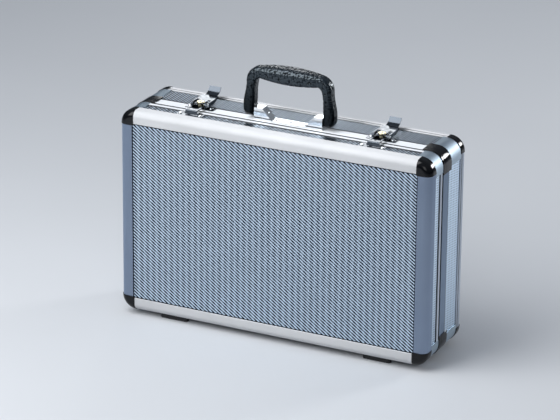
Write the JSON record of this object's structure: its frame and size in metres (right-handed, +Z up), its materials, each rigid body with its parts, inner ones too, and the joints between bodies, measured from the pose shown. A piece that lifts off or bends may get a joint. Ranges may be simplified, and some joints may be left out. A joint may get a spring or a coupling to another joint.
{
  "type": "aluminium case",
  "caption": "Upright aluminium attaché case with embossed panels, rounded edge extrusions, black corner caps, draw latches with key locks and a folding carrying handle.",
  "frame": {"origin": "on the floor under the middle of the standing case, at the feet", "axes": "+X to the right seen from the lid, +Y from the lid to the base, +Z up towards the handle"},
  "size_m": [0.4516, 0.1186, 0.369],
  "materials": {
    "embossed_aluminium": "embossed, satin",
    "anodised_aluminium": "satin anodised",
    "black_abs": "gloss moulded",
    "chrome_steel": "bright chrome plate",
    "lock_brass": "nickel-washed brass",
    "grained_handle": "leather grain, satin",
    "lining_felt": "felt",
    "foam": "open-cell foam",
    "foot_rubber": "matt rubber"
  },
  "bodies": {
    "lid": {"lid_panel": "embossed_aluminium", "lid_edge_top": "anodised_aluminium", "lid_side_top": "embossed_aluminium", "lid_rim_top": "anodised_aluminium", "lid_edge_bottom": "anodised_aluminium", "lid_side_bottom": "embossed_aluminium", "lid_rim_bottom": "anodised_aluminium", "lid_edge_left": "anodised_aluminium", "lid_side_left": "embossed_aluminium", "lid_rim_left": "anodised_aluminium", "lid_edge_right": "anodised_aluminium", "lid_side_right": "embossed_aluminium", "lid_rim_right": "anodised_aluminium", "lid_corner_posts": "anodised_aluminium", "lid_corner_caps": "black_abs", "lid_lining": "lining_felt", "lid_foam": "foam", "lid_feet": "foot_rubber", "lid_rivets": "chrome_steel", "hinge_leaf_lid_left": "chrome_steel", "keeper_left": "chrome_steel", "hinge_leaf_lid_right": "chrome_steel", "keeper_right": "chrome_steel"},
    "base": {"base_panel": "embossed_aluminium", "base_edge_top": "anodised_aluminium", "base_side_top": "embossed_aluminium", "base_rim_top": "anodised_aluminium", "base_edge_bottom": "anodised_aluminium", "base_side_bottom": "embossed_aluminium", "base_rim_bottom": "anodised_aluminium", "base_edge_left": "anodised_aluminium", "base_side_left": "embossed_aluminium", "base_rim_left": "anodised_aluminium", "base_edge_right": "anodised_aluminium", "base_side_right": "embossed_aluminium", "base_rim_right": "anodised_aluminium", "base_corner_posts": "anodised_aluminium", "base_corner_caps": "black_abs", "base_lining": "lining_felt", "base_foam": "foam", "base_feet": "foot_rubber", "base_rivets": "chrome_steel", "base_mouth_corners": "black_abs", "hinge_pins": "chrome_steel", "handle_plate": "chrome_steel", "handle_pins": "chrome_steel", "lever_pins": "chrome_steel", "hinge_leaf_base_left": "chrome_steel", "latch_plate_left": "chrome_steel", "hinge_leaf_base_right": "chrome_steel", "latch_plate_right": "chrome_steel"},
    "handle": {"handle_grip": "grained_handle"},
    "lever_left": {"latch_lever_left": "chrome_steel", "claw_pin_left": "chrome_steel"},
    "claw_left": {"latch_claw_left": "chrome_steel"},
    "lock_left": {"lock_cylinder_left": "lock_brass"},
    "lever_right": {"latch_lever_right": "chrome_steel", "claw_pin_right": "chrome_steel"},
    "claw_right": {"latch_claw_right": "chrome_steel"},
    "lock_right": {"lock_cylinder_right": "lock_brass"}
  },
  "joints": [
    {"name": "lid_hinge", "type": "hinge", "parent": "base", "child": "lid", "pos_m": [0, -0.0175, 0.0043], "axis": [1, 0, 0], "range_deg": [0, 100]},
    {"name": "handle_fold", "type": "hinge", "parent": "base", "child": "handle", "pos_m": [0, -0.004, 0.3035], "axis": [1, 0, 0], "range_deg": [-85, 85]},
    {"name": "latch_left_lever", "type": "hinge", "parent": "base", "child": "lever_left", "pos_m": [-0.132, -0.0074, 0.298], "axis": [1, 0, 0], "range_deg": [0, 100]},
    {"name": "latch_left_claw", "type": "hinge", "parent": "lever_left", "child": "claw_left", "pos_m": [-0.132, 0.0046, 0.2972], "axis": [1, 0, 0], "range_deg": [-100, 0]},
    {"name": "lock_left_turn", "type": "hinge", "parent": "lever_left", "child": "lock_left", "pos_m": [-0.132, -0.004, 0.3], "axis": [0, 0, 1], "range_deg": [0, 90]},
    {"name": "latch_right_lever", "type": "hinge", "parent": "base", "child": "lever_right", "pos_m": [0.132, -0.0074, 0.298], "axis": [1, 0, 0], "range_deg": [0, 100]},
    {"name": "latch_right_claw", "type": "hinge", "parent": "lever_right", "child": "claw_right", "pos_m": [0.132, 0.0046, 0.2972], "axis": [1, 0, 0], "range_deg": [-100, 0]},
    {"name": "lock_right_turn", "type": "hinge", "parent": "lever_right", "child": "lock_right", "pos_m": [0.132, -0.004, 0.3], "axis": [0, 0, 1], "range_deg": [0, 90]}
  ],
  "couplings": [
    {"joint": "latch_left_claw", "follows": "latch_left_lever", "ratio": -1},
    {"joint": "latch_right_claw", "follows": "latch_right_lever", "ratio": -1}
  ]
}
